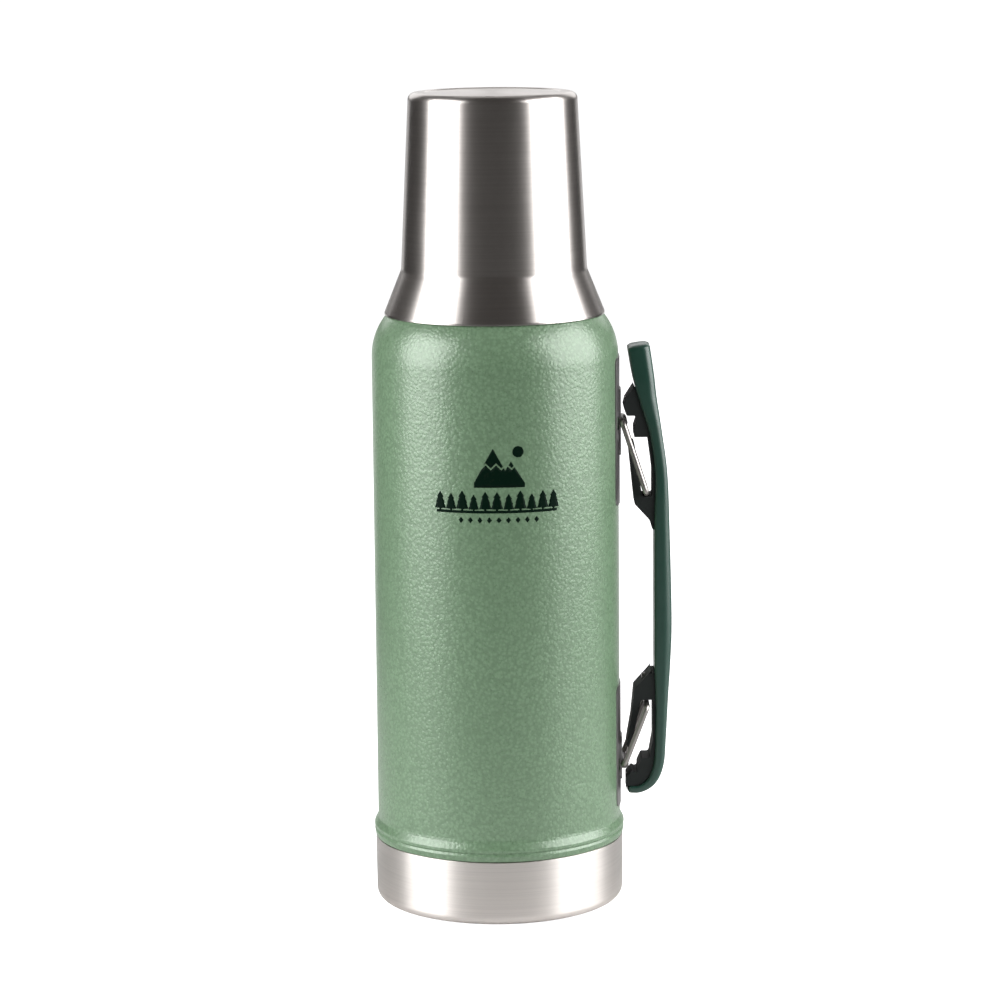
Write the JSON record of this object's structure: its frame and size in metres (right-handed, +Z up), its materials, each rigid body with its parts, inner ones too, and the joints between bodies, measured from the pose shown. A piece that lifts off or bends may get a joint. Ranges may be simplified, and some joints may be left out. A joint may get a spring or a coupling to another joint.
{
  "type": "vacuum flask",
  "caption": "Steel vacuum flask with hammertone body, screw-on steel cup, screw stopper and fold-away side handle on two wire bails",
  "frame": {"origin": "centre of the flat base, on the surface it stands on", "axes": "+Z up the flask, +X out to the handle, -Y the printed front"},
  "size_m": [0.1373, 0.1154, 0.3709],
  "materials": {
    "hammertone_green": "hammertone enamel on steel",
    "brushed_steel": "satin brushed round the axis",
    "plain_steel": "fine satin",
    "solder": "dull cast bead",
    "getter_metal": "dull pressed sheet",
    "foil": "bright coppery foil",
    "bracket_steel": "dark satin",
    "wire": "drawn bright wire",
    "seal_rubber": "matt silicone",
    "stopper_plastic": "fine moulded grain",
    "foam": "rigid foam",
    "handle_plastic": "semi-gloss moulded",
    "insert_plastic": "matt moulded"
  },
  "bodies": {
    "flask": {"outer_shell": "hammertone_green", "outer_bottom": "plain_steel", "base_cap": "brushed_steel", "vacuum_seal": "solder", "getter": "getter_metal", "getter_clip": "getter_metal", "radiation_foil": "foil", "inner_liner": "plain_steel", "liner_bottom": "plain_steel", "upper_plate": "bracket_steel", "lower_plate": "bracket_steel", "upper_strap": "bracket_steel", "lower_strap": "bracket_steel"},
    "stopper_seals": {"stopper_gasket": "seal_rubber", "stopper_oring": "seal_rubber"},
    "stopper": {"stopper_body": "stopper_plastic", "stopper_cover": "stopper_plastic", "stopper_foam": "foam"},
    "cup_seal_ring": {"cup_seal": "seal_rubber"},
    "cup": {"cup_outer": "brushed_steel", "cup_inner": "plain_steel", "cup_thread_ring": "stopper_plastic"},
    "handle": {"handle_grip": "handle_plastic", "upper_insert": "insert_plastic", "lower_insert": "insert_plastic", "handle_screws": "bracket_steel"},
    "upper_bail": {"upper_bail": "wire"},
    "lower_bail": {"lower_bail": "wire"}
  },
  "joints": [
    {"name": "stopper_lift", "type": "slide", "parent": "flask", "child": "stopper_seals", "axis": [0, 0, 1], "range_m": [0, 0.045]},
    {"name": "stopper_turn", "type": "hinge", "parent": "stopper_seals", "child": "stopper", "pos_m": [0, 0, 0.3], "axis": [0, 0, 1], "range_deg": [0, 720]},
    {"name": "cup_lift", "type": "slide", "parent": "flask", "child": "cup_seal_ring", "axis": [0, 0, 1], "range_m": [0, 0.13]},
    {"name": "cup_turn", "type": "hinge", "parent": "cup_seal_ring", "child": "cup", "pos_m": [0, 0, 0.3], "axis": [0, 0, 1], "range_deg": [0, 540]},
    {"name": "handle_pull", "type": "slide", "parent": "flask", "child": "handle", "axis": [1, 0, 0], "range_m": [0, 0.016]},
    {"name": "upper_bail_swing", "type": "hinge", "parent": "flask", "child": "upper_bail", "pos_m": [0.0577, 0, 0.2214], "axis": [0, 1, 0], "range_deg": [-33, 0]},
    {"name": "lower_bail_swing", "type": "hinge", "parent": "flask", "child": "lower_bail", "pos_m": [0.0577, 0, 0.0623], "axis": [0, 1, 0], "range_deg": [0, 42]}
  ],
  "couplings": [
    {"joint": "upper_bail_swing", "follows": "handle_pull", "rad_per_m": -34.8},
    {"joint": "lower_bail_swing", "follows": "handle_pull", "rad_per_m": 43.5}
  ]
}
